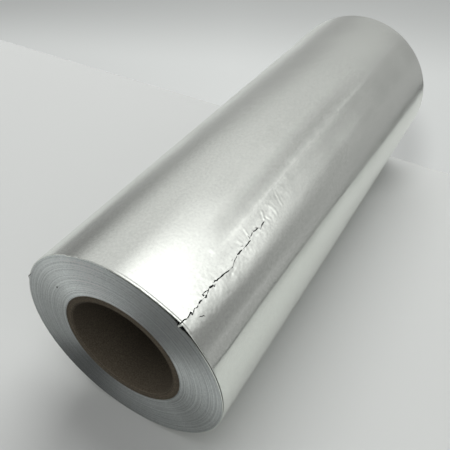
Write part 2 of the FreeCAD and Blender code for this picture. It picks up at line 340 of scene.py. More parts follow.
@dataclass(frozen=True)
class CutFoilEdges:
    """The cut edges of hundreds of foil turns, side by side.

    They read as a grey turned face: fine circles, and painted light and shade that spread out from the axis as
    brighter and darker sectors.
    """

    pale: str = "#eff3f2"
    dark: str = "#8e9293"
    roughness: float = 0.45
    anisotropy: float = 0.97
    ring_mm: float = 1.3
    ring_height_mm: float = 0.06
    grain_mm: float = 0.9
    grain_share: float = 0.4
    # Painted highlight: the overall brightness of the painted sectors on the ends.
    painted_sheen: float = 0.95
    painted_sheen_fans: tuple[tuple[int, float, float], ...] = (
        (1, -120.0, 0.25), (2, -105.0, 0.30), (3, 155.0, 0.12), (4, 30.0, 0.22))

    def build(self) -> bpy.types.Material:
        """Build the material, whose circles depend only on the distance from the axis."""
        material, tree = new_material("cut_aluminium_foil_edges")
        place = add_node(tree, "ShaderNodeTexCoord").outputs["Object"]
        flat = add_node(tree, "ShaderNodeVectorMath", {0: place, 1: (1.0, 1.0, 0.0)},
                        operation="MULTIPLY")
        radius = add_node(tree, "ShaderNodeVectorMath", {0: flat.outputs["Vector"]},
                          operation="LENGTH")
        rings = add_node(tree, "ShaderNodeTexNoise", {
            "W": radius.outputs["Value"], "Scale": 1 / (self.ring_mm * TO_METRES),
            "Detail": 4.0, "Roughness": 0.65}, noise_dimensions="1D")
        grain = add_node(tree, "ShaderNodeTexNoise", {
            "Vector": place, "Scale": 1 / (self.grain_mm * TO_METRES), "Detail": 3.0})
        mixed = add_node(tree, "ShaderNodeMix", {
            "Factor": self.grain_share, "A": rings.outputs["Fac"], "B": grain.outputs["Fac"]})
        contrast = add_node(tree, "ShaderNodeMapRange", {
            "Value": mixed.outputs["Result"], "From Min": 0.2, "From Max": 0.8})
        tone = add_node(tree, "ShaderNodeMix", {
            "Factor": contrast.outputs["Result"], "A": linear(self.dark),
            "B": linear(self.pale)}, data_type="RGBA")
        parts = add_node(tree, "ShaderNodeSeparateXYZ", {"Vector": place}).outputs
        angle = add_node(tree, "ShaderNodeMath", {0: parts["Y"], 1: parts["X"]},
                         operation="ARCTAN2").outputs[0]
        # Painted highlight and shade: the colour is made brighter and darker by angle round the axis.
        share = self.painted_sheen
        for order, phase, strength in self.painted_sheen_fans:
            turned = add_node(tree, "ShaderNodeMath", {
                0: angle, 1: float(order), 2: -math.radians(phase)}, operation="MULTIPLY_ADD")
            painted_fan = add_node(tree, "ShaderNodeMath", {0: turned.outputs[0]}, operation="COSINE")
            share = add_node(tree, "ShaderNodeMath", {
                0: painted_fan.outputs[0], 1: strength, 2: share}, operation="MULTIPLY_ADD").outputs[0]
        tone = add_node(tree, "ShaderNodeVectorMath", {
            0: tone.outputs["Result"], 1: share}, operation="MULTIPLY")
        bump = add_node(tree, "ShaderNodeBump", {
            "Height": rings.outputs["Fac"], "Strength": 0.5,
            "Distance": self.ring_height_mm * TO_METRES})
        round_way = add_node(tree, "ShaderNodeVectorMath", {0: (0.0, 0.0, 1.0), 1: place},
                             operation="CROSS_PRODUCT")
        surface = add_node(tree, "ShaderNodeBsdfPrincipled", {
            "Base Color": tone.outputs["Vector"], "Metallic": 1.0,
            "Roughness": self.roughness, "Anisotropic": self.anisotropy,
            "Anisotropic Rotation": ACROSS_THE_LINES,
            "Normal": bump.outputs["Normal"], "Tangent": round_way.outputs["Vector"]})
        add_node(tree, "ShaderNodeOutputMaterial", {"Surface": surface.outputs["BSDF"]})
        return material


@dataclass(frozen=True)
class ShadowedFoil:
    """Painted shade: a nearly black matt material in place of the shadow on foil deep in a crack or under a
    lifted turn.
    """

    colour: str = "#2c2f30"
    roughness: float = 0.6

    def build(self) -> bpy.types.Material:
        """Build the material, slightly mottled where turns lie unevenly."""
        material, tree = new_material("shadowed_aluminium_foil")
        place = add_node(tree, "ShaderNodeTexCoord").outputs["Object"]
        mottle = add_node(tree, "ShaderNodeTexNoise", {"Vector": place, "Scale": 400.0})
        tone = add_node(tree, "ShaderNodeMix", {
            "Factor": mottle.outputs["Fac"], "A": linear("#1b1d1e"), "B": linear(self.colour)},
            data_type="RGBA")
        surface = add_node(tree, "ShaderNodeBsdfPrincipled", {
            "Base Color": tone.outputs["Result"], "Metallic": 0.0,
            "Roughness": self.roughness})
        add_node(tree, "ShaderNodeOutputMaterial", {"Surface": surface.outputs["BSDF"]})
        return material


@dataclass(frozen=True)
class WoundPaperboard:
    """Grey-brown core board, wound in a helix from strips of unbleached paper: matt and fibrous."""

    pale: str = "#847a69"
    dark: str = "#544d42"
    roughness: float = 0.88
    fibre_mm: float = 0.9
    ply_mm: float = 0.7
    bore_mm: float = 38.1
    end_from_mm: float = 0.6
    bore_painted_shade: float = 0.85
    ends_painted_light: float = 1.3

    def build(self) -> bpy.types.Material:
        """Build the material, with paper plies that show as circles on the cut ends, painted darker in the bore
        as shade and paler on the cut ends as light.
        """
        material, tree = new_material("wound_paperboard")
        place = add_node(tree, "ShaderNodeTexCoord").outputs["Object"]
        flat = add_node(tree, "ShaderNodeVectorMath", {0: place, 1: (1.0, 1.0, 0.0)},
                        operation="MULTIPLY")
        radius = add_node(tree, "ShaderNodeVectorMath", {0: flat.outputs["Vector"]},
                          operation="LENGTH")
        plies = add_node(tree, "ShaderNodeTexNoise", {
            "W": radius.outputs["Value"], "Scale": 1 / (self.ply_mm * TO_METRES),
            "Detail": 1.0}, noise_dimensions="1D")
        fibres = add_node(tree, "ShaderNodeTexNoise", {
            "Vector": place, "Scale": 1 / (self.fibre_mm * TO_METRES), "Detail": 4.0})
        mixed = add_node(tree, "ShaderNodeMath", {
            0: plies.outputs["Fac"], 1: fibres.outputs["Fac"]}, operation="MULTIPLY")
        share = add_node(tree, "ShaderNodeMapRange", {
            "Value": mixed.outputs[0], "From Min": 0.1, "From Max": 0.4})
        tone = add_node(tree, "ShaderNodeMix", {
            "Factor": share.outputs["Result"], "A": linear(self.dark), "B": linear(self.pale)},
            data_type="RGBA")
        # Painted shade and light: darker in the bore, paler on the cut ends.
        painted_light_by_radius = add_node(tree, "ShaderNodeMapRange", {
            "Value": radius.outputs["Value"], "From Min": self.bore_mm * TO_METRES,
            "From Max": (self.bore_mm + self.end_from_mm) * TO_METRES,
            "To Min": self.bore_painted_shade, "To Max": self.ends_painted_light})
        toned = add_node(tree, "ShaderNodeVectorMath", {
            0: tone.outputs["Result"], 1: painted_light_by_radius.outputs["Result"]}, operation="MULTIPLY")
        bump = add_node(tree, "ShaderNodeBump", {
            "Height": fibres.outputs["Fac"], "Strength": 0.4, "Distance": 0.15 * TO_METRES})
        surface = add_node(tree, "ShaderNodeBsdfPrincipled", {
            "Base Color": toned.outputs["Vector"], "Roughness": self.roughness,
            "Specular IOR Level": 0.3, "Normal": bump.outputs["Normal"]})
        add_node(tree, "ShaderNodeOutputMaterial", {"Surface": surface.outputs["BSDF"]})
        return material


@dataclass(frozen=True)
class Crease:
    """A small sharp fold in the foil, through points given by round distance and height."""

    points: tuple[tuple[float, float], ...]
    width: float
    height: float
    lip: float = 0.0

    def relief(self, round_way: np.ndarray, height: np.ndarray) -> np.ndarray:
        """Give how far the fold stands out of the surface.

        Args:
            round_way: distances round the roll.
            height: heights up the roll, of the same shape.

        Returns:
            The relief, fading at both ends of the fold.
        """
        nearest = np.full(np.shape(round_way), np.inf)
        for start, stop in zip(self.points, self.points[1:]):
            run = (stop[0] - start[0], stop[1] - start[1])
            share = ((round_way - start[0]) * run[0] + (height - start[1]) * run[1])
            share = np.clip(share / (run[0] ** 2 + run[1] ** 2), 0.0, 1.0)
            away = np.hypot(round_way - start[0] - share * run[0],
                            height - start[1] - share * run[1])
            nearest = np.minimum(nearest, away)
        ridge = np.exp(-(nearest / self.width) ** 2)
        beside = np.exp(-((nearest - 2 * self.width) / self.width) ** 2)
        return self.height * ridge - self.lip * beside


@dataclass
class Tear:
    """The torn, lifted stretch of the outermost turn's free edge, as the solids have it."""

    angle: float = -130.3
    length: float = 97.0
    lift: float = 1.9
    before: float = 26.5
    after: float = 31.3
    straight_shift: float = 9.7
    straight_start: float = 116.4
    corners: tuple[tuple[float, float], ...] = (
        (0.0, 0.9), (3.0, 0.6), (4.0, 0.0), (5.6, -0.2), (7.0, 0.1), (9.0, 0.5), (9.4, -0.8),
        (10.8, -0.4), (12.2, 0.2), (12.8, -0.3), (14.4, -0.7), (15.4, 0.0), (17.4, 0.0),
        (18.6, 0.1), (22.1, -0.6), (22.6, -0.8), (24.4, -0.4), (26.6, 0.5), (28.1, 0.9),
        (29.1, 0.5), (30.3, 0.2), (31.3, 0.0), (34.0, 0.9), (35.0, 0.2), (36.4, 0.1), (38.1, -0.3),
        (40.9, -0.6), (42.8, -0.9), (46.3, -1.8), (50.3, -2.2), (52.2, -1.2), (54.3, -0.6),
        (56.7, -0.3), (58.6, 0.5), (59.6, -0.1), (61.0, 0.1), (62.6, 0.1), (63.4, -0.2),
        (67.5, -0.5), (70.5, -0.5), (71.8, -0.3), (73.7, -0.7), (75.7, 1.0), (77.1, 1.1),
        (78.2, 1.5), (80.2, 1.5), (81.9, 1.0), (84.8, 0.8), (86.4, -0.9), (88.4, 0.0),
        (92.4, 0.3), (97.0, 0.8))
    parts: tuple[tuple[float, float, float], ...] = (
        (-1.0, 4.6, 0.36), (4.6, 9.6, 0.50), (9.6, 15.4, 0.46), (15.8, 19.0, 0.58),
        (21.8, 24.0, 0.65), (24.0, 27.6, 0.45), (27.6, 31.7, 0.60), (33.0, 46.8, 0.45),
        (48.6, 57.8, 0.32), (58.2, 63.8, 0.52), (67.2, 73.9, 0.46), (75.4, 79.0, 0.42),
        (79.7, 84.9, 0.36), (86.2, 92.8, 0.38))
    part_ends: float = 0.7
    slit_depth: float = 1.2
    shut_slit: float = 0.08

    def centre(self, depth: np.ndarray) -> np.ndarray:
        """Give the edge's place round the roll for depths below the upper end."""
        depths = [spot[0] for spot in self.corners] + [self.straight_start]
        places = [spot[1] for spot in self.corners] + [self.straight_shift]
        return np.interp(depth, depths, places)

    def torn(self, depth: np.ndarray) -> np.ndarray:
        """Give 1 along the torn stretch, easing to 0 below it."""
        return smooth_step((self.length + 3 - depth) / 8)

    def half_slit(self, depth: np.ndarray) -> np.ndarray:
        """Give half the crack's width, which is shut between its parts."""
        wide = depth * 0
        for start, stop, half in self.parts:
            opened = (smooth_step((depth - start) / self.part_ends)
                      * smooth_step((stop - depth) / self.part_ends))
            wide = np.maximum(wide, half * opened)
        wide = wide * (0.9 + 0.35 * wavy(depth * 0, depth, 2.3, 8.3))
        return np.clip(wide, self.shut_slit, None) * self.torn(depth) + 0.02

    def near_fold(self, round_way: np.ndarray) -> np.ndarray:
        """Give 1 at the edge and 0 where the turn lies flat again."""
        breadth = np.where(round_way >= 0, self.before, self.after)
        return np.clip(1 - np.abs(round_way) / breadth, 0.0, 1.0)

    def lifted(self, round_way: np.ndarray, depth: np.ndarray) -> np.ndarray:
        """Give how far the outermost turn stands off the roll."""
        share = np.clip(1 - depth / self.length, 0.0, 1.0) ** 2
        return self.lift * share * self.near_fold(round_way) ** 2


@dataclass
class FoilWinding:
    """The wound foil: one solid with the torn edge, its crumples and the gaps at the rim."""

    radius: float
    height: float
    hole_radius: float
    tear: Tear = field(default_factory=Tear)
    ply: float = 0.3
    rim_round: float = 0.3
    rim_wear: float = 0.1
    edge_rows: tuple[tuple[float, float], ...] = (
        (0.3, 0.2), (1.5, 0.4), (3.0, 0.5), (100.0, 0.8), (130.0, 1.5), (170.0, 6.0))
    columns_before: tuple[tuple[float, float], ...] = (
        (0.0, 0.3), (3.0, 0.6), (12.0, 1.2), (84.0, 3.5), (135.0, 0.6), (145.0, 3.5))
    columns_after: tuple[tuple[float, float], ...] = (
        (0.0, 0.3), (3.0, 0.6), (12.0, 1.2), (46.0, 3.5))
    gap_depth: float = 9.0
    gap_before: float = 1.5
    gap_before_reach: float = 50.0
    gap_after: float = 1.6
    gap_after_reach: float = 72.0
    hook_before: float = 1.5
    hook_after: float = 2.4
    hook_reach: float = 5.0
    gap_opens: float = 0.25
    next_turn: float = 0.3
    nose: tuple[float, float] = (-0.8, 0.8)
    nose_rise: float = 0.2
    lap: float = 0.5
    flare: float = 0.24
    flare_at: float = 0.5
    flare_moves: float = 0.5
    flare_breadth: float = 0.5
    flare_reach: tuple[float, float] = (55.0, 7.0)
    burr: tuple[float, float] = (63.0, 81.0)
    burr_rise: float = 0.8
    barb_at: float = 139.9
    barb_breadth: float = 1.2
    barb_depth: float = 1.4
    barb_reach: float = 0.9
    foot_rings: int = 6
    end_rings: int = 46
    end_dip: float = 0.06
    crumple: float = 0.06
    fine_crumple: float = 0.03
    waviness: float = 0.05
    creases: tuple[Crease, ...] = (
        Crease(((12.2, 352.0), (11.2, 340.0), (11.2, 333.0), (10.2, 320.0), (11.0, 308.0),
                (9.2, 299.0), (10.3, 290.0), (10.0, 278.0), (10.6, 262.0), (10.8, 250.0),
                (11.6, 225.0), (12.0, 195.0), (10.5, 165.0), (9.4, 145.0), (8.6, 105.0)),
               1.8, 0.12),
        Crease(((5.2, 303.6), (3.2, 305.0), (1.4, 306.2)), 0.8, 0.08, 0.03),
        Crease(((2.4, 305.0), (0.8, 304.4), (-2.0, 303.0)), 0.6, -0.05),
        Crease(((6.5, 296.6), (3.2, 294.6), (0.0, 293.8), (-3.4, 294.6)), 0.8, 0.04, 0.02),
        Crease(((7.4, 282.0), (3.5, 283.8), (0.8, 284.9), (-1.8, 285.1)), 0.7, 0.06, 0.02),
        Crease(((-4.7, 355.4), (-4.1, 352.5), (-3.4, 349.8)), 0.8, -0.05),
        Crease(((6.9, 324.0), (3.5, 324.9), (1.4, 325.4)), 0.7, 0.04, 0.02),
        Crease(((5.2, 334.0), (2.5, 333.0)), 0.7, 0.03),
        Crease(((-30.6, 399.0), (-32.0, 385.0), (-32.2, 330.0), (-33.1, 303.0), (-34.8, 258.0),
                (-44.5, 107.0), (-50.0, 20.0)), 2.6, 0.10),
    )

    def columns(self) -> tuple[np.ndarray, np.ndarray]:
        """Lay the columns from the torn edge all the way round and back to it.

        Returns:
            Round distances, rising from 0 and then from minus half the girth up to 0, and
            whether each is on that second half.
        """
        half = math.pi * self.radius
        before = spaced(self.columns_before, half)
        after = -spaced(self.columns_after, half)[::-1][1:]
        second = np.arange(len(before) + len(after)) >= len(before)
        return np.concatenate((before, after)), second

    def outer_radius(self, angle: np.ndarray, second_half: np.ndarray) -> np.ndarray:
        """Give the spiral turn's radius, which is one ply less once round.

        Args:
            angle: angles from the torn edge, in radians.
            second_half: true on the half that ends at the torn edge.

        Returns:
            The radii, without any relief.
        """
        step = self.ply / 2 * (1 + np.cos(angle))
        return self.radius - np.where(second_half, step, 0.0)

    def relief(self, round_way: np.ndarray, height: np.ndarray,
               second_half: np.ndarray, centre: np.ndarray) -> np.ndarray:
        """Give what the handling of the foil adds to the plain turn.

        Args:
            round_way: distances round the roll.
            height: heights up the roll.
            second_half: true on the half that ends at the torn edge.
            centre: the torn edge's place at each height.

        Returns:
            The relief, outwards.
        """
        depth = self.height - height
        from_edge = round_way - centre
        total = self.tear.lifted(round_way, depth)
        below = smooth_step((depth - self.tear.length) / 15)
        total += np.where(second_half, self.ply * np.exp(-(from_edge / 6.0) ** 2) * below, 0.0)
        for crease in self.creases:
            total += crease.relief(round_way, height)
        upper = smooth_step((height - 180) / 80)
        crumpled = np.exp(-(from_edge / 10) ** 2) * upper * np.where(second_half, 1.0, 0.6)
        total += crumpled * self.crumple * wavy(round_way, height * 0.7, 6.0, 1.3)
        total += crumpled * self.fine_crumple * wavy(round_way, height, 2.6, 5.1)
        total += self.waviness * wavy(round_way * 0.5, height * 0.35, 17.0, 2.2)
        reach = np.where(round_way >= 0, *self.flare_reach)
        left = np.clip(1 - np.abs(round_way) / reach, 0.0, 1.0)
        flare_at = self.flare_at + self.flare_moves * (1 - left)
        curled = np.exp(-((depth - flare_at) / self.flare_breadth) ** 2)
        total += self.flare * curled * np.sqrt(left)
        barb = np.exp(-((round_way - self.barb_at) / self.barb_breadth) ** 2
                      - (depth / self.barb_depth) ** 2)
        return total + self.barb_reach * barb

    def side_rows(self) -> tuple[np.ndarray, np.ndarray, np.ndarray]:
        """Work out the side's points, from the foot up.

        Returns:
            Angles, radii and heights, each rows by columns, with the crack's floor as the last
            two columns.
        """
        depths = spaced(self.edge_rows, self.height - self.rim_round)[::-1]
        lay, second = self.columns()
        depth, round_way = np.meshgrid(depths, lay, indexing="ij")
        second_half = np.broadcast_to(second, depth.shape)
        centre = np.broadcast_to(self.tear.centre(depths)[:, None], depth.shape)
        half_slit = np.broadcast_to(self.tear.half_slit(depths)[:, None], depth.shape)
        shift = centre + np.where(second_half, -half_slit, half_slit)
        fall = 1 - smooth_step(np.abs(round_way) / 30)
        moved = round_way + shift * fall
        height = self.height - depth
        angle = moved / self.radius
        radius = self.outer_radius(angle, second_half)
        radius = radius + self.relief(moved, height, second_half, centre)
        floor = radius[:, [0]] - self.tear.slit_depth * self.tear.torn(depths)[:, None] - 0.02
        floor = np.minimum(floor, radius[:, [-1]] - 0.01)
        angle = np.concatenate((angle, angle[:, [-1]], angle[:, [0]]), axis=1)
        radius = np.concatenate((radius, floor, floor), axis=1)
        height = np.concatenate((height, height[:, :2]), axis=1)
        return angle, radius, height

    def rim_gap(self, round_way: np.ndarray) -> np.ndarray:
        """Give the width of the dark gap under the lifted turn, seen on the upper end.

        Args:
            round_way: distances round the roll from the torn edge.

        Returns:
            The widths, 0 beyond the lifted stretch.
        """
        reach = np.where(round_way >= 0, self.gap_before_reach, self.gap_after_reach)
        line = np.where(round_way >= 0, self.gap_before, self.gap_after)
        hook = np.where(round_way >= 0, self.hook_before, self.hook_after)
        left = np.clip(1 - np.abs(round_way) / reach, 0.0, 1.0)
        return line * np.sqrt(left) + hook * np.exp(-(round_way / self.hook_reach) ** 2)

    def worn_rim(self, round_way: np.ndarray) -> np.ndarray:
        """Give how unevenly the rim is worn: outwards where it is more than 0."""
        worn = wavy(round_way, round_way * 0, 2.2, 6.4) + 0.8 * wavy(
            round_way, round_way * 0, 0.9, 2.9)
        start, stop = self.burr
        burred = smooth_step((round_way - start) / 3) * smooth_step((stop - round_way) / 3)
        return self.rim_wear * worn * (1 + 2.5 * burred)

    def foot_end(self, angle: np.ndarray, radius: np.ndarray) -> list[tuple]:
        """Lay the rings of the foot, from the core out to the rim.

        Args:
            angle: the columns' angles.
            radius: the side's radii at the foot.

        Returns:
            Rows of angles, radii, heights and kinds.
        """
        shares = np.linspace(0, 1, self.foot_rings + 1)
        inner, outer = self.hole_radius, radius - self.rim_round
        return [(angle, inner + (outer - inner) * share, angle * 0, WindingFace.END)
                for share in shares]

    def upper_end(self, angle: np.ndarray, radius: np.ndarray) -> list[tuple]:
        """Lay the rows over the rim, down into the gap, up again and in to the core.

        Args:
            angle: the columns' angles.
            radius: the side's radii at the upper end.

        Returns:
            Rows of angles, radii, heights and kinds.
        """
        round_way = angle * self.radius
        worn = self.worn_rim(round_way)
        gap = self.rim_gap(round_way)
        opened = smooth_step(gap / self.gap_opens)
        in_nose = (round_way > self.nose[0]) & (round_way < self.nose[1])
        deep = np.where(in_nose, -self.nose_rise, self.gap_depth * opened)
        start, stop = self.burr
        burred = smooth_step((round_way - start) / 3) * smooth_step((stop - round_way) / 3)
        top = self.height + self.burr_rise * burred * (0.5 + 0.5 * wavy(
            round_way, round_way * 0, 1.9, 4.4))
        rim = radius - self.rim_round + worn
        under = np.minimum(rim - 0.05, radius - self.lap)
        inner = under - gap
        level = angle * 0 + self.height
        rows = [(angle, radius - 0.3 * self.rim_round + 0.5 * worn,
                 top - 0.3 * self.rim_round, WindingFace.SIDE),
                (angle, rim, top, WindingFace.SIDE),
                (angle, under, top, WindingFace.GAP),
                (angle, under, level - deep, WindingFace.GAP),
                (angle, inner, level - deep, WindingFace.GAP),
                (angle, inner, level - self.next_turn * opened, WindingFace.SIDE)]
        start_radius = inner - self.next_turn * opened
        for number in range(self.end_rings):
            share = number / (self.end_rings - 1)
            ring = start_radius + (self.hole_radius - start_radius) * share
            edge = number in (0, self.end_rings - 1)
            uneven = 0.0 if edge else 0.05 * math.sin(number * 2.4) * math.sin(number * 0.7)
            rows.append((angle, ring, level + uneven - self.end_dip * (number > 0),
                         WindingFace.END))
        return rows

    def points(self) -> tuple[np.ndarray, np.ndarray]:
        """Work out the whole closed surface.

        Returns:
            The points, rows by columns by three, and what the face from each point is.
        """
        angle, radius, height = self.side_rows()
        rows = self.foot_end(angle[0], radius[0])
        first_side = len(rows)
        rows += [(angle[row], radius[row], height[row], WindingFace.SIDE)
                 for row in range(len(radius))]
        last_side = len(rows)
        rows += self.upper_end(angle[-1], radius[-1])
        kinds = np.array([[row[3]] * angle.shape[1] for row in rows])
        # The crack's floor and walls get the painted-shade material.
        kinds[first_side - 1:last_side + 1, -3:] = WindingFace.GAP
        round_way = angle[-1] * self.radius
        in_nose = (round_way > self.nose[0] - 0.3) & (round_way < self.nose[1])
        kinds[last_side + 1:last_side + 6, in_nose] = WindingFace.SIDE
        turn = math.radians(self.tear.angle)
        grid = np.array([[row[1] * np.cos(row[0] + turn), row[1] * np.sin(row[0] + turn),
                          row[2] + row[0] * 0] for row in rows]).transpose(0, 2, 1)
        return grid, kinds

    def build(self, foil: bpy.types.Material, edges: bpy.types.Material,
              shadow: bpy.types.Material) -> bpy.types.Object:
        """Build the winding and put it in the place of its solid.

        Args:
            foil: the material of the side.
            edges: the material of the ends.
            shadow: the material inside the crack and the gaps.

        Returns:
            The piece.
        """
        points, kinds = self.points()
        piece = ring_mesh("foil_winding_skin", points, kinds, 32.0, [foil, edges, shadow])
        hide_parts("foil_winding")
        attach(piece, BODY)
        return piece

    def spot(self, round_way: float, depth: float) -> tuple[Vector, Vector]:
        """Give a point on the finished side and the direction outwards there.

        Args:
            round_way: the distance round the roll from the torn edge.
            depth: the distance below the upper end.

        Returns:
            The point in millimetres and the outward direction.
        """
        lone = np.array([float(round_way)])
        level = np.array([self.height - depth])
        second = np.array([round_way < 0])
        edge = self.tear.centre(np.array([depth]))
        radius = self.outer_radius(lone / self.radius, second) + self.relief(
            lone, level, second, edge)
        angle = round_way / self.radius + math.radians(self.tear.angle)
        outwards = Vector((math.cos(angle), math.sin(angle), 0.0))
        return outwards * float(radius[0]) + Vector((0.0, 0.0, level[0])), outwards


@dataclass
class Slivers:
    """Small dark marks in the painted-shade material: the shade of the side cracks that branch off the tear, and
    two marks on the end.

    Each has its width in front. The cracks run through round distances and depths, and the
    marks on the end through angles in degrees and radii.
    """

    winding: FoilWinding
    cracks: tuple[tuple[float, tuple[tuple[float, float], ...]], ...] = (
        (0.9, ((0.7, 8.8), (-0.4, 8.6), (-1.1, 8.6), (-0.9, 9.8))),
        (1.5, ((0.6, 17.8), (-0.5, 19.0))),
        (1.3, ((1.7, 21.6), (0.5, 21.8), (-0.9, 22.3), (-0.7, 23.2))),
        (0.7, ((1.5, 22.2), (1.3, 24.4), (0.5, 26.3))),
        (0.8, ((0.2, 31.0), (-1.0, 31.4), (-0.4, 32.8))),
        (0.6, ((1.1, 31.9), (1.0, 33.4))),
        (1.4, ((1.3, 33.6), (0.1, 35.2))),
        (0.7, ((0.6, 52.3), (0.9, 53.4))),
        (0.5, ((5.2, 40.8), (5.5, 41.6))),
        (0.4, ((1.8, 64.3), (1.0, 65.9), (-0.1, 66.3), (-1.4, 64.8))),
        (0.35, ((-0.1, 66.2), (-0.4, 67.5))),
        (0.5, ((-0.6, 73.6), (0.5, 74.0), (1.8, 74.2), (2.9, 74.2))),
        (0.5, ((1.1, 77.5), (2.4, 78.1))),
        (0.35, ((1.6, 80.1), (2.6, 79.9))),
        (0.4, ((0.8, 84.8), (1.6, 84.0), (2.3, 82.4))),
        (0.35, ((-1.2, 85.3), (-0.6, 87.2))),
        (0.45, ((-5.0, 10.8), (-5.2, 12.0), (-6.0, 12.4), (-6.2, 13.8), (-7.4, 14.2))),
    )
    end_marks: tuple[tuple[float, tuple[tuple[float, float], ...]], ...] = (
        (1.3, ((-37.9, 54.5), (-37.0, 54.5), (-36.1, 54.5))),
        (0.6, ((-22.3, 74.6), (-24.0, 74.0), (-27.0, 72.9))),
    )
    proud: float = 0.05
    sunk: float = 0.2
    pointed: float = 0.4

    def build(self, material: bpy.types.Material) -> bpy.types.Object:
        """Build all the marks as one piece of closed slivers.

        Args:
            material: the shadowed foil.

        Returns:
            The piece.
        """
        work = bmesh.new()
        for width, places in self.cracks:
            self.lay(work, [self.winding.spot(*place) for place in places], width)
        up = Vector((0.0, 0.0, 1.0))
        for width, places in self.end_marks:
            turns = [(math.radians(angle), radius) for angle, radius in places]
            self.lay(work, [(Vector((radius * math.cos(turn), radius * math.sin(turn),
                                     self.winding.height)), up) for turn, radius in turns], width)
        mesh = bpy.data.meshes.new("tear_slivers")
        work.to_mesh(mesh)
        work.free()
        mesh.materials.append(material)
        piece = bpy.data.objects.new("tear_slivers", mesh)
        bpy.context.scene.collection.objects.link(piece)
        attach(piece, BODY)
        return piece

    def lay(self, work: bmesh.types.BMesh, spots: list[tuple[Vector, Vector]],
            width: float) -> None:
        """Lay one closed sliver along a path on a surface.

        Args:
            work: the mesh to add it to.
            spots: points in millimetres, each with the outward direction there.
            width: how wide the sliver is in its middle.
        """
        rings = []
        for number, (point, outwards) in enumerate(spots):
            before = spots[max(number - 1, 0)][0]
            after = spots[min(number + 1, len(spots) - 1)][0]
            aside = outwards.cross((after - before).normalized())
            ends = number in (0, len(spots) - 1)
            half = aside * width / 2 * (self.pointed if ends else 1.0)
            corners = (point - half + outwards * self.proud, point - outwards * self.sunk,
                       point + half + outwards * self.proud)
            rings.append([work.verts.new(corner * TO_METRES) for corner in corners])
        for lower, upper in zip(rings, rings[1:]):
            for place in range(3):
                following = (place + 1) % 3
                work.faces.new((lower[place], lower[following], upper[following], upper[place]))
        work.faces.new(rings[0][::-1])
        work.faces.new(rings[-1])
        bmesh.ops.recalc_face_normals(work, faces=work.faces)


@dataclass
class TurnEdges:
    """The edges of single turns that stand a little proud on an end, as one spiral ridge."""

    inner_radius: float
    outer_radius: float
    height: float
    turns: float = 19.0
    width: float = 0.32
    proud: float = 0.05
    rise: float = 0.0

    def tree(self, material: bpy.types.Material) -> bpy.types.NodeTree:
        """Build the node tree that winds the ridge.

        Args:
            material: the material of the ridge.

        Returns:
            The tree, with its sizes as named inputs in metres.
        """
        tree = bpy.data.node_groups.new("turn_edges", "GeometryNodeTree")
        for name, kind in (("Turns", "NodeSocketFloat"), ("Inner Radius", "NodeSocketFloat"),
                           ("Outer Radius", "NodeSocketFloat"), ("Height", "NodeSocketFloat"),
                           ("Ridge Width", "NodeSocketFloat"), ("Rise", "NodeSocketFloat")):
            tree.interface.new_socket(name, in_out="INPUT", socket_type=kind)
        tree.interface.new_socket("Geometry", in_out="OUTPUT",
                                  socket_type="NodeSocketGeometry")
        given = add_node(tree, "NodeGroupInput").outputs
        spiral = add_node(tree, "GeometryNodeCurveSpiral", {
            "Resolution": 80, "Rotations": given["Turns"],
            "Start Radius": given["Inner Radius"], "End Radius": given["Outer Radius"],
            "Height": given["Rise"]})
        up = add_node(tree, "ShaderNodeCombineXYZ", {"Z": given["Height"]})
        raised = add_node(tree, "GeometryNodeTransform", {
            "Geometry": spiral.outputs["Curve"], "Translation": up.outputs["Vector"]})
        along = add_node(tree, "GeometryNodeSplineParameter")
        uneven = add_node(tree, "ShaderNodeTexNoise", {
            "W": along.outputs["Length"], "Scale": 9.0, "Detail": 3.0},
            noise_dimensions="1D")
        thickness = add_node(tree, "ShaderNodeMapRange", {
            "Value": uneven.outputs["Fac"], "From Min": 0.35, "From Max": 0.65,
            "To Min": 0.35, "To Max": 1.3})
        varied = add_node(tree, "GeometryNodeSetCurveRadius", {
            "Curve": raised.outputs["Geometry"], "Radius": thickness.outputs["Result"]})
        outline = add_node(tree, "GeometryNodeCurvePrimitiveCircle", {"Resolution": 4})
        half = add_node(tree, "ShaderNodeMath", {0: given["Ridge Width"], 1: 0.5},
                        operation="MULTIPLY")
        scale = add_node(tree, "ShaderNodeCombineXYZ", {
            "X": half.outputs[0], "Y": half.outputs[0], "Z": 1.0})
        sized = add_node(tree, "GeometryNodeTransform", {
            "Geometry": outline.outputs["Curve"], "Scale": scale.outputs["Vector"]})
        swept = add_node(tree, "GeometryNodeCurveToMesh", {
            "Curve": varied.outputs["Curve"], "Profile Curve": sized.outputs["Geometry"],
            "Fill Caps": True})
        real = add_node(tree, "GeometryNodeRealizeInstances", {
            "Geometry": swept.outputs["Mesh"]})
        painted = add_node(tree, "GeometryNodeSetMaterial", {
            "Geometry": real.outputs["Geometry"], "Material": material})
        add_node(tree, "NodeGroupOutput", {"Geometry": painted.outputs["Geometry"]})
        return tree

    def build(self, end: RollEnd, material: bpy.types.Material) -> bpy.types.Object:
        """Wind the ridge on one end and keep it as a plain mesh.

        Args:
            end: the end that it lies on.
            material: the material of the cut edges.

        Returns:
            The piece.
        """
        sunk = self.height - end.value * (self.width / 2 - self.proud)
        sizes = {"Turns": self.turns, "Inner Radius": self.inner_radius * TO_METRES,
                 "Outer Radius": self.outer_radius * TO_METRES,
                 "Height": sunk * TO_METRES, "Ridge Width": self.width * TO_METRES, "Rise": self.rise * TO_METRES}
        piece = run_tree(f"turn_edges_{end.name.lower()}", self.tree(material), sizes)
        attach(piece, BODY)
        return piece


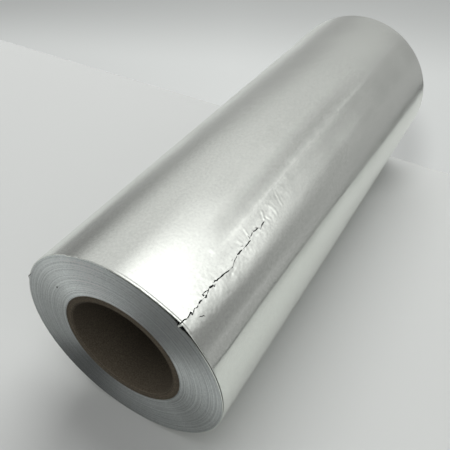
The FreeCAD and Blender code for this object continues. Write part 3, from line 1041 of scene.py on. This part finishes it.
def run_tree(name: str, tree: bpy.types.NodeTree, sizes: dict[str, float]) -> bpy.types.Object:
    """Run a geometry tree on an empty mesh and keep the result as a plain mesh.

    Args:
        name: the piece's name.
        tree: the geometry tree.
        sizes: a value for each of the tree's inputs, by name.

    Returns:
        The piece, with no modifier left.
    """
    holder = bpy.data.objects.new(name, bpy.data.meshes.new(f"{name}_seed"))
    bpy.context.scene.collection.objects.link(holder)
    modifier = holder.modifiers.new("nodes", "NODES")
    modifier.node_group = tree
    for item in tree.interface.items_tree:
        if item.item_type == "SOCKET" and item.in_out == "INPUT":
            modifier[item.identifier] = sizes[item.name]
    evaluated = holder.evaluated_get(bpy.context.evaluated_depsgraph_get())
    mesh = bpy.data.meshes.new_from_object(evaluated)
    holder.modifiers.clear()
    holder.data = mesh
    mesh.name = name
    return holder


@dataclass
class PaperCore:
    """The thick paper tube in the middle, with soft worn mouths."""

    bore: float
    outside: float
    height: float
    bevel: float = 0.8
    segments: int = 128
    swelling: float = 0.06

    def build(self, board: bpy.types.Material) -> bpy.types.Object:
        """Build the tube and put it in the place of its solid.

        Args:
            board: the core's material.

        Returns:
            The piece.
        """
        levels = spaced(((self.bevel, 0.8), (4.0, 6.0)), self.height / 2)
        upwards = np.concatenate((levels, self.height - levels[::-1][1:]))
        profile = [(self.bore, height) for height in upwards[::-1]]
        profile += self.mouth(0.0, 1.0)
        profile += [(self.outside, height) for height in upwards]
        profile += self.mouth(self.height, -1.0)[::-1]
        angles = np.linspace(0, 2 * math.pi, self.segments, endpoint=False)
        radius = np.array([spot[0] for spot in profile])[:, None] + angles * 0
        height = np.array([spot[1] for spot in profile])[:, None] + angles * 0
        grid = np.stack((radius * np.cos(angles), radius * np.sin(angles), height), axis=-1)
        piece = ring_mesh("paper_core_skin", grid, np.zeros(grid.shape[:2]), 50.0, [board])
        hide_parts("paper_core")
        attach(piece, BODY)
        return piece

    def mouth(self, level: float, inwards: float) -> list[tuple[float, float]]:
        """Give the outline of an end of the wall, from the bore outwards.

        Args:
            level: the end's height.
            inwards: 1 where the tube lies above the end and -1 where it lies below.

        Returns:
            Radii and heights.
        """
        wall = self.outside - self.bore
        outline = []
        for share in (0.35, 0.7, 1.0):
            angle = share * math.pi / 2
            outline.append((self.bore + self.bevel * (1 - math.cos(angle)),
                            level + inwards * self.bevel * (1 - math.sin(angle))))
        for share in (0.3, 0.5, 0.7, 0.85):
            sunk = self.swelling * math.sin(share * 9)
            outline.append((self.bore + wall * share, level + inwards * abs(sunk)))
        outline.append((self.outside - 0.2, level))
        return outline


@dataclass(frozen=True)
class Glow:
    """A large soft window of light in the world, given by directions in degrees."""

    azimuth: float
    breadth: tuple[float, float]
    elevation: tuple[float, float]
    strength: float

    def light(self, tree: bpy.types.NodeTree, way: bpy.types.NodeSocket) -> bpy.types.NodeSocket:
        """Add the window's nodes.

        Args:
            tree: the world's tree.
            way: the socket that gives the direction.

        Returns:
            The socket that gives its light.
        """
        turn = math.radians(self.azimuth)
        level = add_node(tree, "ShaderNodeVectorMath", {0: way, 1: (1.0, 1.0, 0.0)},
                         operation="MULTIPLY")
        flat = add_node(tree, "ShaderNodeVectorMath", {0: level.outputs["Vector"]},
                        operation="NORMALIZE")
        across = add_node(tree, "ShaderNodeVectorMath", {
            0: flat.outputs["Vector"], 1: (math.cos(turn), math.sin(turn), 0.0)},
            operation="DOT_PRODUCT")
        height = add_node(tree, "ShaderNodeSeparateXYZ", {"Vector": way}).outputs["Z"]
        outer, inner = (math.cos(math.radians(angle)) for angle in self.breadth)
        low, high = (math.sin(math.radians(angle)) for angle in self.elevation)
        share = add_node(tree, "ShaderNodeMapRange", {
            "Value": across.outputs["Value"], "From Min": outer, "From Max": inner},
            interpolation_type="SMOOTHSTEP")
        raised = add_node(tree, "ShaderNodeMapRange", {
            "Value": height, "From Min": low, "From Max": high, "To Max": self.strength},
            interpolation_type="SMOOTHSTEP")
        ended = add_node(tree, "ShaderNodeMapRange", {
            "Value": height, "From Min": 0.5, "From Max": 0.1}, interpolation_type="SMOOTHSTEP")
        both = add_node(tree, "ShaderNodeMath", {
            0: share.outputs["Result"], 1: raised.outputs["Result"]}, operation="MULTIPLY")
        light = add_node(tree, "ShaderNodeMath", {
            0: both.outputs[0], 1: ended.outputs["Result"]}, operation="MULTIPLY")
        return light.outputs[0]


@dataclass
class Studio:
    """The plain pale surroundings and the light, none of which is part of the roll."""

    floor_colour: str = "#606261"
    floor_glow: str = "#fcfffd"
    # Painted light: the floor's glow, strongest near the roll and fading away from it.
    floor_light: float = 0.68
    floor_fade: float = 0.22
    floor_middle: float = 0.15
    floor_least: float = 0.41
    floor_far: tuple[float, float] = (-0.105, -0.005)
    floor_far_share: float = 0.64
    floor_far_slant: float = -0.17
    # Painted shadows beside the roll's foot, on the floor's glow and on the wall's colour.
    floor_shade: float = 0.17
    floor_shade_reach: tuple[float, float] = (0.07, 0.11)
    wall_colour: str = "#d2d4d2"
    wall_shade: float = 0.13
    backdrop_colour: str = "#c9cbca"
    extent: float = 40.0
    edge_slant: float = 0.306
    edge_near: tuple[float, float] = (-0.31, -0.305)
    edge_line: float = -0.235
    edge_colour: str = "#202020"
    edge_far: tuple[float, float] = (0.87, 0.39)
    sky: tuple[tuple[float, float], ...] = (
        (0.0, 0.36), (1.0, 0.52), (0.17, 0.27), (0.36, 0.30), (0.52, 0.48), (0.7, 0.48))
    front_share: float = 0.26
    deep_share: float = 1.22
    sideways: float = 0.14
    low_dimming: float = 0.26
    low_band: tuple[tuple[float, float], ...] = ((-0.50, -0.62), (-0.40, -0.20))
    matt_light: float = 0.88
    matt_overhead: float = 0.0
    matt_below: float = 0.08
    glows: tuple[Glow, ...] = (
        Glow(245.0, (55.0, 2.0), (-40.0, -30.0), 1.5),
        Glow(207.0, (20.0, 6.0), (-52.0, -38.0), 0.40),
        Glow(312.0, (37.0, 2.0), (-56.0, -43.0), 0.17),
        Glow(170.5, (4.5, 1.0), (-44.0, -38.0), 0.20),
        Glow(161.0, (5.0, 1.5), (-38.0, -33.0), 0.20),
    )

    def plane(self, name: str, corners: list[tuple[float, float, float]],
              material: bpy.types.Material) -> bpy.types.Object:
        """Make one flat square of the surroundings.

        Args:
            name: the object's name.
            corners: four corners in metres, anticlockwise seen from its front.
            material: its material.

        Returns:
            The stage object.
        """
        mesh = bpy.data.meshes.new(name)
        mesh.from_pydata(corners, [], [(0, 1, 2, 3)])
        mesh.materials.append(material)
        square = bpy.data.objects.new(name, mesh)
        bpy.context.scene.collection.objects.link(square)
        return square

    def build(self, contact: float) -> None:
        """Build the floor, the wall that the roll lies against, the world and the lamps.

        Args:
            contact: how far along +Y the wall stands, in metres.
        """
        far = self.extent
        floor = self.plane("studio_floor", [
            (-far, -far, 0), (far, -far, 0), (far, far, 0), (-far, far, 0)],
            self.floor_material(contact))
        floor.visible_glossy = False
        floor.visible_diffuse = False
        floor.visible_shadow = False
        wall = self.plane("studio_wall", [
            (-far, contact, -far), (far, contact, -far), (far, contact, far),
            (-far, contact, far)], self.wall_material(contact))
        wall.visible_diffuse = False
        wall.visible_shadow = False
        self.world()
        self.lamp("top_lamp", (0.55, -3.3, -2.1), 4.0, 160.0)

    def floor_material(self, contact: float) -> bpy.types.Material:
        """Build the matt paper of the floor, which the camera sees a little lit from within: a painted glow that
        fades away from the roll, with a painted shadow beside its foot.

        Args:
            contact: how far along +Y the wall stands, in metres.

        Returns:
            The material.
        """
        material, tree = new_material("matt_studio_paper")
        paper = add_node(tree, "ShaderNodeBsdfDiffuse", {"Color": linear(self.floor_colour)})
        seen = add_node(tree, "ShaderNodeLightPath").outputs["Is Camera Ray"]
        place = add_node(tree, "ShaderNodeTexCoord").outputs["Object"]
        parts = add_node(tree, "ShaderNodeSeparateXYZ", {"Vector": place}).outputs
        # Painted light: the glow fades across the floor and towards the far side.
        offset = add_node(tree, "ShaderNodeMath", {0: parts["X"], 1: self.floor_middle},
                          operation="SUBTRACT")
        aside = add_node(tree, "ShaderNodeMath", {0: offset.outputs[0]}, operation="ABSOLUTE")
        faded = add_node(tree, "ShaderNodeMath", {
            0: aside.outputs[0], 1: -self.floor_fade, 2: self.floor_light},
            operation="MULTIPLY_ADD")
        way_back = add_node(tree, "ShaderNodeMath", {
            0: parts["X"], 1: self.floor_far_slant, 2: parts["Y"]}, operation="MULTIPLY_ADD")
        dimmer = add_node(tree, "ShaderNodeMapRange", {
            "Value": way_back.outputs[0], "From Min": self.floor_far[0],
            "From Max": self.floor_far[1], "To Min": self.floor_far_share},
            interpolation_type="SMOOTHSTEP")
        dimmed = add_node(tree, "ShaderNodeMath", {
            0: faded.outputs[0], 1: dimmer.outputs["Result"]}, operation="MULTIPLY")
        level = add_node(tree, "ShaderNodeMath", {0: dimmed.outputs[0], 1: self.floor_least},
                         operation="MAXIMUM")
        # Painted shadow: the glow is darker near the roll's foot, on its -X side.
        from_roll = add_node(tree, "ShaderNodeVectorMath", {0: place, 1: (0.0, contact, 0.0)},
                             operation="DISTANCE")
        near, far = self.floor_shade_reach
        shade = add_node(tree, "ShaderNodeMapRange", {
            "Value": from_roll.outputs["Value"], "From Min": near, "From Max": far,
            "To Min": -self.floor_shade, "To Max": 0.0}, interpolation_type="SMOOTHSTEP")
        beside = add_node(tree, "ShaderNodeMapRange", {
            "Value": parts["X"], "From Min": 0.0, "From Max": -near},
            interpolation_type="SMOOTHSTEP")
        shaded = add_node(tree, "ShaderNodeMath", {
            0: shade.outputs["Result"], 1: beside.outputs["Result"], 2: level.outputs[0]},
            operation="MULTIPLY_ADD")
        lit = add_node(tree, "ShaderNodeMath", {0: shaded.outputs[0], 1: seen},
                       operation="MULTIPLY")
        glow = add_node(tree, "ShaderNodeEmission", {
            "Color": linear(self.floor_glow), "Strength": lit.outputs[0]})
        surface = add_node(tree, "ShaderNodeAddShader", {
            0: paper.outputs["BSDF"], 1: glow.outputs["Emission"]})
        add_node(tree, "ShaderNodeOutputMaterial", {"Surface": surface.outputs["Shader"]})
        return material

    def wall_material(self, contact: float) -> bpy.types.Material:
        """Build the matt paper of the wall, which is clear from behind.

        The roll's reflection shows it only over the breadth that a table top would have.

        Args:
            contact: how far along +Y the wall stands, in metres.

        Returns:
            The material.
        """
        material, tree = new_material("matt_studio_paper_wall")
        clear = add_node(tree, "ShaderNodeBsdfTransparent")
        behind = add_node(tree, "ShaderNodeNewGeometry").outputs["Backfacing"]
        place = add_node(tree, "ShaderNodeTexCoord").outputs["Object"]
        across = add_node(tree, "ShaderNodeVectorMath", {
            0: place, 1: (1.0, 0.0, self.edge_slant)}, operation="DOT_PRODUCT").outputs["Value"]
        ends = [add_node(tree, "ShaderNodeMapRange", {
            "Value": across, "From Min": clear_at, "From Max": shown_at, "To Min": 1.0,
            "To Max": 0.0}, interpolation_type="SMOOTHSTEP").outputs["Result"]
            for clear_at, shown_at in (self.edge_near, self.edge_far)]
        beyond = add_node(tree, "ShaderNodeMath", {0: ends[0], 1: ends[1]}, operation="MAXIMUM")
        glossy = add_node(tree, "ShaderNodeLightPath").outputs["Is Glossy Ray"]
        unseen = add_node(tree, "ShaderNodeMath", {0: beyond.outputs[0], 1: glossy},
                          operation="MULTIPLY")
        edge = add_node(tree, "ShaderNodeMath", {0: across, 1: self.edge_line}, operation="LESS_THAN")
        lined = add_node(tree, "ShaderNodeMath", {0: edge.outputs[0], 1: glossy},
                         operation="MULTIPLY")
        tone = add_node(tree, "ShaderNodeMix", {
            "Factor": lined.outputs[0], "A": linear(self.wall_colour),
            "B": linear(self.edge_colour)}, data_type="RGBA")
        # Painted shadow: the wall's colour is darker near the roll's foot.
        from_foot = add_node(tree, "ShaderNodeVectorMath", {0: place, 1: (0.0, contact, 0.0)},
                             operation="DISTANCE")
        near, far = self.floor_shade_reach
        shaded = add_node(tree, "ShaderNodeMapRange", {
            "Value": from_foot.outputs["Value"], "From Min": near, "From Max": far,
            "To Min": 1.0 - self.wall_shade, "To Max": 1.0}, interpolation_type="SMOOTHSTEP")
        toned = add_node(tree, "ShaderNodeVectorMath", {
            0: tone.outputs["Result"], 1: shaded.outputs["Result"]}, operation="MULTIPLY")
        paper = add_node(tree, "ShaderNodeBsdfDiffuse", {"Color": toned.outputs["Vector"]})
        either = add_node(tree, "ShaderNodeMath", {0: unseen.outputs[0], 1: behind},
                          operation="MAXIMUM")
        surface = add_node(tree, "ShaderNodeMixShader", {
            0: either.outputs[0], 1: paper.outputs["BSDF"], 2: clear.outputs["BSDF"]})
        add_node(tree, "ShaderNodeOutputMaterial", {"Surface": surface.outputs["Shader"]})
        return material

    def world(self) -> None:
        """Build a soft overcast light that is dim level with the roll and bright above it."""
        world = bpy.data.worlds.new("soft_studio_light")
        world.use_nodes = True
        tree = world.node_tree
        tree.nodes.clear()
        bpy.context.scene.world = world
        way = add_node(tree, "ShaderNodeTexCoord").outputs["Generated"]
        parts = add_node(tree, "ShaderNodeSeparateXYZ", {"Vector": way}).outputs
        rise = add_node(tree, "ShaderNodeMath", {0: parts["Y"], 1: -1.0}, operation="MULTIPLY")
        sky = add_node(tree, "ShaderNodeValToRGB", {"Fac": rise.outputs[0]})
        ramp = sky.color_ramp
        for element, (position, light) in zip(ramp.elements, self.sky[:2]):
            element.position, element.color = position, (light, light, light, 1)
        for position, light in self.sky[2:]:
            ramp.elements.new(position).color = (light, light, light, 1)
        front = add_node(tree, "ShaderNodeMapRange", {
            "Value": parts["Z"], "From Min": -0.4, "From Max": 0.4, "To Min": 1.0,
            "To Max": self.front_share}, interpolation_type="SMOOTHSTEP")
        deep = add_node(tree, "ShaderNodeMapRange", {
            "Value": parts["Z"], "From Min": -0.8, "From Max": -0.5, "To Min": self.deep_share,
            "To Max": 1.0}, interpolation_type="SMOOTHSTEP")
        along = add_node(tree, "ShaderNodeMath", {
            0: front.outputs["Result"], 1: deep.outputs["Result"]}, operation="MULTIPLY")
        whole = add_node(tree, "ShaderNodeVectorMath", {
            0: sky.outputs["Color"], 1: along.outputs[0]}, operation="MULTIPLY")
        low = add_node(tree, "ShaderNodeMapRange", {
            "Value": rise.outputs[0], "From Min": 0.2, "From Max": 0.4, "To Min": 1.0,
            "To Max": 0.0}).outputs["Result"]
        for dark, light in self.low_band:
            edge = add_node(tree, "ShaderNodeMapRange", {
                "Value": parts["Z"], "From Min": light, "From Max": dark})
            low = add_node(tree, "ShaderNodeMath", {0: low, 1: edge.outputs["Result"]},
                           operation="MULTIPLY").outputs[0]
        dimmed = add_node(tree, "ShaderNodeMath", {0: low, 1: -self.low_dimming, 2: 1.0},
                          operation="MULTIPLY_ADD")
        whole = add_node(tree, "ShaderNodeVectorMath", {
            0: whole.outputs["Vector"], 1: dimmed.outputs[0]}, operation="MULTIPLY")
        leaning = add_node(tree, "ShaderNodeMath", {
            0: parts["X"], 1: self.sideways, 2: 1.0}, operation="MULTIPLY_ADD")
        whole = add_node(tree, "ShaderNodeVectorMath", {
            0: whole.outputs["Vector"], 1: leaning.outputs[0]}, operation="MULTIPLY")
        for glow in self.glows:
            whole = add_node(tree, "ShaderNodeVectorMath", {
                0: whole.outputs["Vector"], 1: glow.light(tree, way)}, operation="ADD")
        seen = add_node(tree, "ShaderNodeLightPath").outputs["Is Camera Ray"]
        pale = add_node(tree, "ShaderNodeMix", {
            "Factor": seen, "A": whole.outputs["Vector"], "B": linear(self.backdrop_colour)},
            data_type="RGBA")
        matt = add_node(tree, "ShaderNodeLightPath").outputs["Is Diffuse Ray"]
        ahead = add_node(tree, "ShaderNodeMapRange", {
            "Value": parts["Z"], "From Min": -0.1, "From Max": 0.1, "To Max": self.matt_light})
        overhead = add_node(tree, "ShaderNodeMapRange", {
            "Value": parts["Z"], "From Min": 0.35, "From Max": 0.85, "To Min": 1.0,
            "To Max": self.matt_overhead})
        below = add_node(tree, "ShaderNodeMapRange", {
            "Value": parts["Y"], "From Min": -0.1, "From Max": 0.2, "To Min": 1.0,
            "To Max": self.matt_below})
        soft = ahead.outputs["Result"]
        for share in (overhead, below):
            soft = add_node(tree, "ShaderNodeMath", {0: soft, 1: share.outputs["Result"]},
                            operation="MULTIPLY").outputs[0]
        both = add_node(tree, "ShaderNodeMix", {
            "Factor": matt, "A": pale.outputs["Result"], "B": soft}, data_type="RGBA")
        light = add_node(tree, "ShaderNodeBackground", {"Color": both.outputs["Result"]})
        add_node(tree, "ShaderNodeOutputWorld", {"Surface": light.outputs["Background"]})

    def lamp(self, name: str, place: tuple[float, float, float], size: float,
             power: float) -> None:
        """Hang a square soft lamp that points at the roll.

        Args:
            name: the lamp's name.
            place: its place in metres.
            size: its side in metres.
            power: its power in watts.
        """
        data = bpy.data.lights.new(name, "AREA")
        data.size = size
        data.energy = power
        lamp = bpy.data.objects.new(name, data)
        lamp.location = place
        towards = Vector((0.0, 0.0, 0.2)) - Vector(place)
        lamp.rotation_euler = towards.to_track_quat("-Z", "Y").to_euler()
        lamp.visible_camera = False
        lamp.visible_glossy = False
        bpy.context.scene.collection.objects.link(lamp)


@dataclass
class PhotoCamera:
    """The camera at the photograph's viewing angle: from above, with -Y of the roll upwards."""

    place: Vector = field(default_factory=lambda: Vector((-0.15415, -0.2768, 0.53464)))
    aim: Vector = field(default_factory=lambda: Vector((0.0019, -0.0035, 0.2718)))
    upwards: Vector = field(default_factory=lambda: Vector((0.0, -1.0, 0.0)))
    lens: float = 43.02
    sensor: float = 36.0

    def build(self) -> bpy.types.Object:
        """Make the camera and give it to the scene."""
        data = bpy.data.cameras.new("photo_camera")
        data.lens = self.lens
        data.sensor_width = self.sensor
        data.clip_start = 0.01
        camera = bpy.data.objects.new("photo_camera", data)
        back = (self.place - self.aim).normalized()
        right = self.upwards.cross(back).normalized()
        up = back.cross(right)
        turn = Matrix((right, up, back)).transposed().to_4x4()
        camera.matrix_world = Matrix.Translation(self.place) @ turn
        bpy.context.scene.collection.objects.link(camera)
        bpy.context.scene.camera = camera
        return camera


def main() -> None:
    """Build the camera, the studio and every piece of the roll."""
    logging.basicConfig(level=logging.INFO, format="%(name)s: %(message)s")
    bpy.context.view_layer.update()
    bpy.context.scene.view_settings.view_transform = "Standard"
    lowest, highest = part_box("foil_winding")
    core_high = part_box("paper_core")[1]
    bore = next(mount["dims"]["r_mm"] for mount in frame["record"]["mounts"]
                if mount["name"] == "core_bore")
    radius = -lowest.y / TO_METRES
    height = highest.z / TO_METRES
    core_radius = core_high.x / TO_METRES

    PhotoCamera().build()
    Studio().build(-lowest.y)
    foil, edges = RolledFoil().build(), CutFoilEdges().build()
    shadow, board = ShadowedFoil().build(), WoundPaperboard().build()
    winding = FoilWinding(radius, height, core_radius + 0.02)
    pieces = [
        winding.build(foil, edges, shadow),
        Slivers(winding).build(shadow),
        PaperCore(bore, core_radius, height).build(board),
        TurnEdges(core_radius + 1, radius - 2, height).build(RollEnd.UPPER, edges),
        TurnEdges(core_radius + 1, radius - 2, 0.0).build(RollEnd.LOWER, edges),
    ]
    for piece in pieces:
        LOG.info("%s: %d faces", piece.name, len(piece.data.polygons))


if __name__ == "__main__":
    main()
